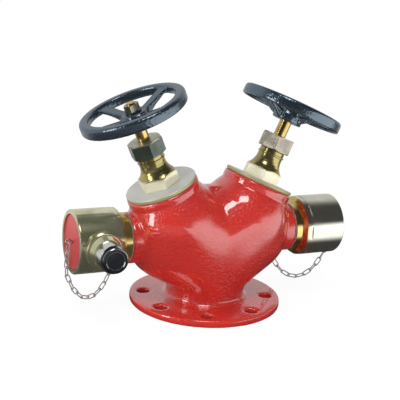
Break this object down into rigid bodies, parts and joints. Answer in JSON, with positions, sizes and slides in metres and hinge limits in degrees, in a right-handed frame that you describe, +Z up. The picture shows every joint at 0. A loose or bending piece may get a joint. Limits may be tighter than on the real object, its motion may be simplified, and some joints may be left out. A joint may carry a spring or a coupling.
{
  "type": "twin outlet landing valve",
  "caption": "Fire main landing valve: one flanged inlet, twin screw-down valves with handwheels set in a V, and female instantaneous couplings with chained blank caps.",
  "frame": {"origin": "centre of the inlet flange's bottom face", "axes": "+Z up the riser, +X along the outlets to the right-hand coupling, -Y to the side with the left coupling's release lug"},
  "size_m": [0.4272, 0.22, 0.3195],
  "materials": {
    "red_enamel": "gloss",
    "wheel_enamel": "gloss",
    "brass": "polished",
    "spindle_brass": "polished",
    "bronze": "satin",
    "steel": "satin",
    "chain_steel": "satin",
    "chrome": "polished",
    "black_plastic": "gloss",
    "rubber": "matt",
    "packing": "matt",
    "fibre": "matt"
  },
  "bodies": {
    "valve_body": {"body": "red_enamel", "left_bonnet_gasket": "fibre", "left_bonnet": "brass", "left_gland_packing": "packing", "left_gland_follower": "brass", "left_gland_nut": "brass", "left_coupling_gasket": "fibre", "left_coupling": "brass", "left_coupling_seal": "rubber", "left_plunger_spring": "steel", "left_spring_retainer": "bronze", "left_blank_cap": "red_enamel", "left_cap_eye": "steel", "left_cap_eye_nut": "steel", "left_chain": "chain_steel", "left_chain_anchor": "steel", "right_bonnet_gasket": "fibre", "right_bonnet": "brass", "right_gland_packing": "packing", "right_gland_follower": "brass", "right_gland_nut": "brass", "right_coupling_gasket": "fibre", "right_coupling": "brass", "right_coupling_seal": "rubber", "right_plunger_spring": "steel", "right_spring_retainer": "bronze", "right_blank_cap": "red_enamel", "right_cap_eye": "steel", "right_cap_eye_nut": "steel", "right_chain": "chain_steel", "right_chain_anchor": "steel"},
    "left_lift": {"left_valve_disc": "bronze", "left_disc_hub_nut": "bronze", "left_seat_washer": "rubber", "left_washer_plate": "bronze", "left_washer_nut": "bronze"},
    "left_wheel": {"left_spindle": "spindle_brass", "left_handwheel": "wheel_enamel", "left_wheel_washer": "steel", "left_wheel_nut": "brass"},
    "left_release": {"left_release_plunger": "steel", "left_release_sleeve": "chrome", "left_release_nut": "steel", "left_release_cap": "black_plastic"},
    "right_lift": {"right_valve_disc": "bronze", "right_disc_hub_nut": "bronze", "right_seat_washer": "rubber", "right_washer_plate": "bronze", "right_washer_nut": "bronze"},
    "right_wheel": {"right_spindle": "spindle_brass", "right_handwheel": "wheel_enamel", "right_wheel_washer": "steel", "right_wheel_nut": "brass"},
    "right_release": {"right_release_plunger": "steel", "right_release_sleeve": "chrome", "right_release_nut": "steel", "right_release_cap": "black_plastic"}
  },
  "joints": [
    {"name": "left_valve_lift", "type": "slide", "parent": "valve_body", "child": "left_lift", "axis": [-0.3987, 0, 0.9171], "range_m": [0, 0.0201]},
    {"name": "left_wheel_turn", "type": "hinge", "parent": "left_lift", "child": "left_wheel", "pos_m": [0, 0, 0], "axis": [-0.3987, 0, 0.9171], "range_deg": [0, 1440]},
    {"name": "left_release_pull", "type": "slide", "parent": "valve_body", "child": "left_release", "axis": [0, -1, 0], "range_m": [0, 0.007], "stiffness_N_per_m": 1200, "springref_m": -0.005, "deforming": ["left_plunger_spring"]},
    {"name": "right_valve_lift", "type": "slide", "parent": "valve_body", "child": "right_lift", "axis": [0.3987, 0, 0.9171], "range_m": [0, 0.0201]},
    {"name": "right_wheel_turn", "type": "hinge", "parent": "right_lift", "child": "right_wheel", "pos_m": [0, 0, 0], "axis": [0.3987, 0, 0.9171], "range_deg": [0, 1440]},
    {"name": "right_release_pull", "type": "slide", "parent": "valve_body", "child": "right_release", "axis": [0, 1, 0], "range_m": [0, 0.007], "stiffness_N_per_m": 1200, "springref_m": -0.005, "deforming": ["right_plunger_spring"]}
  ],
  "couplings": [
    {"joint": "left_valve_lift", "follows": "left_wheel_turn", "m_per_rad": 0.00079577},
    {"joint": "right_valve_lift", "follows": "right_wheel_turn", "m_per_rad": 0.00079577}
  ]
}
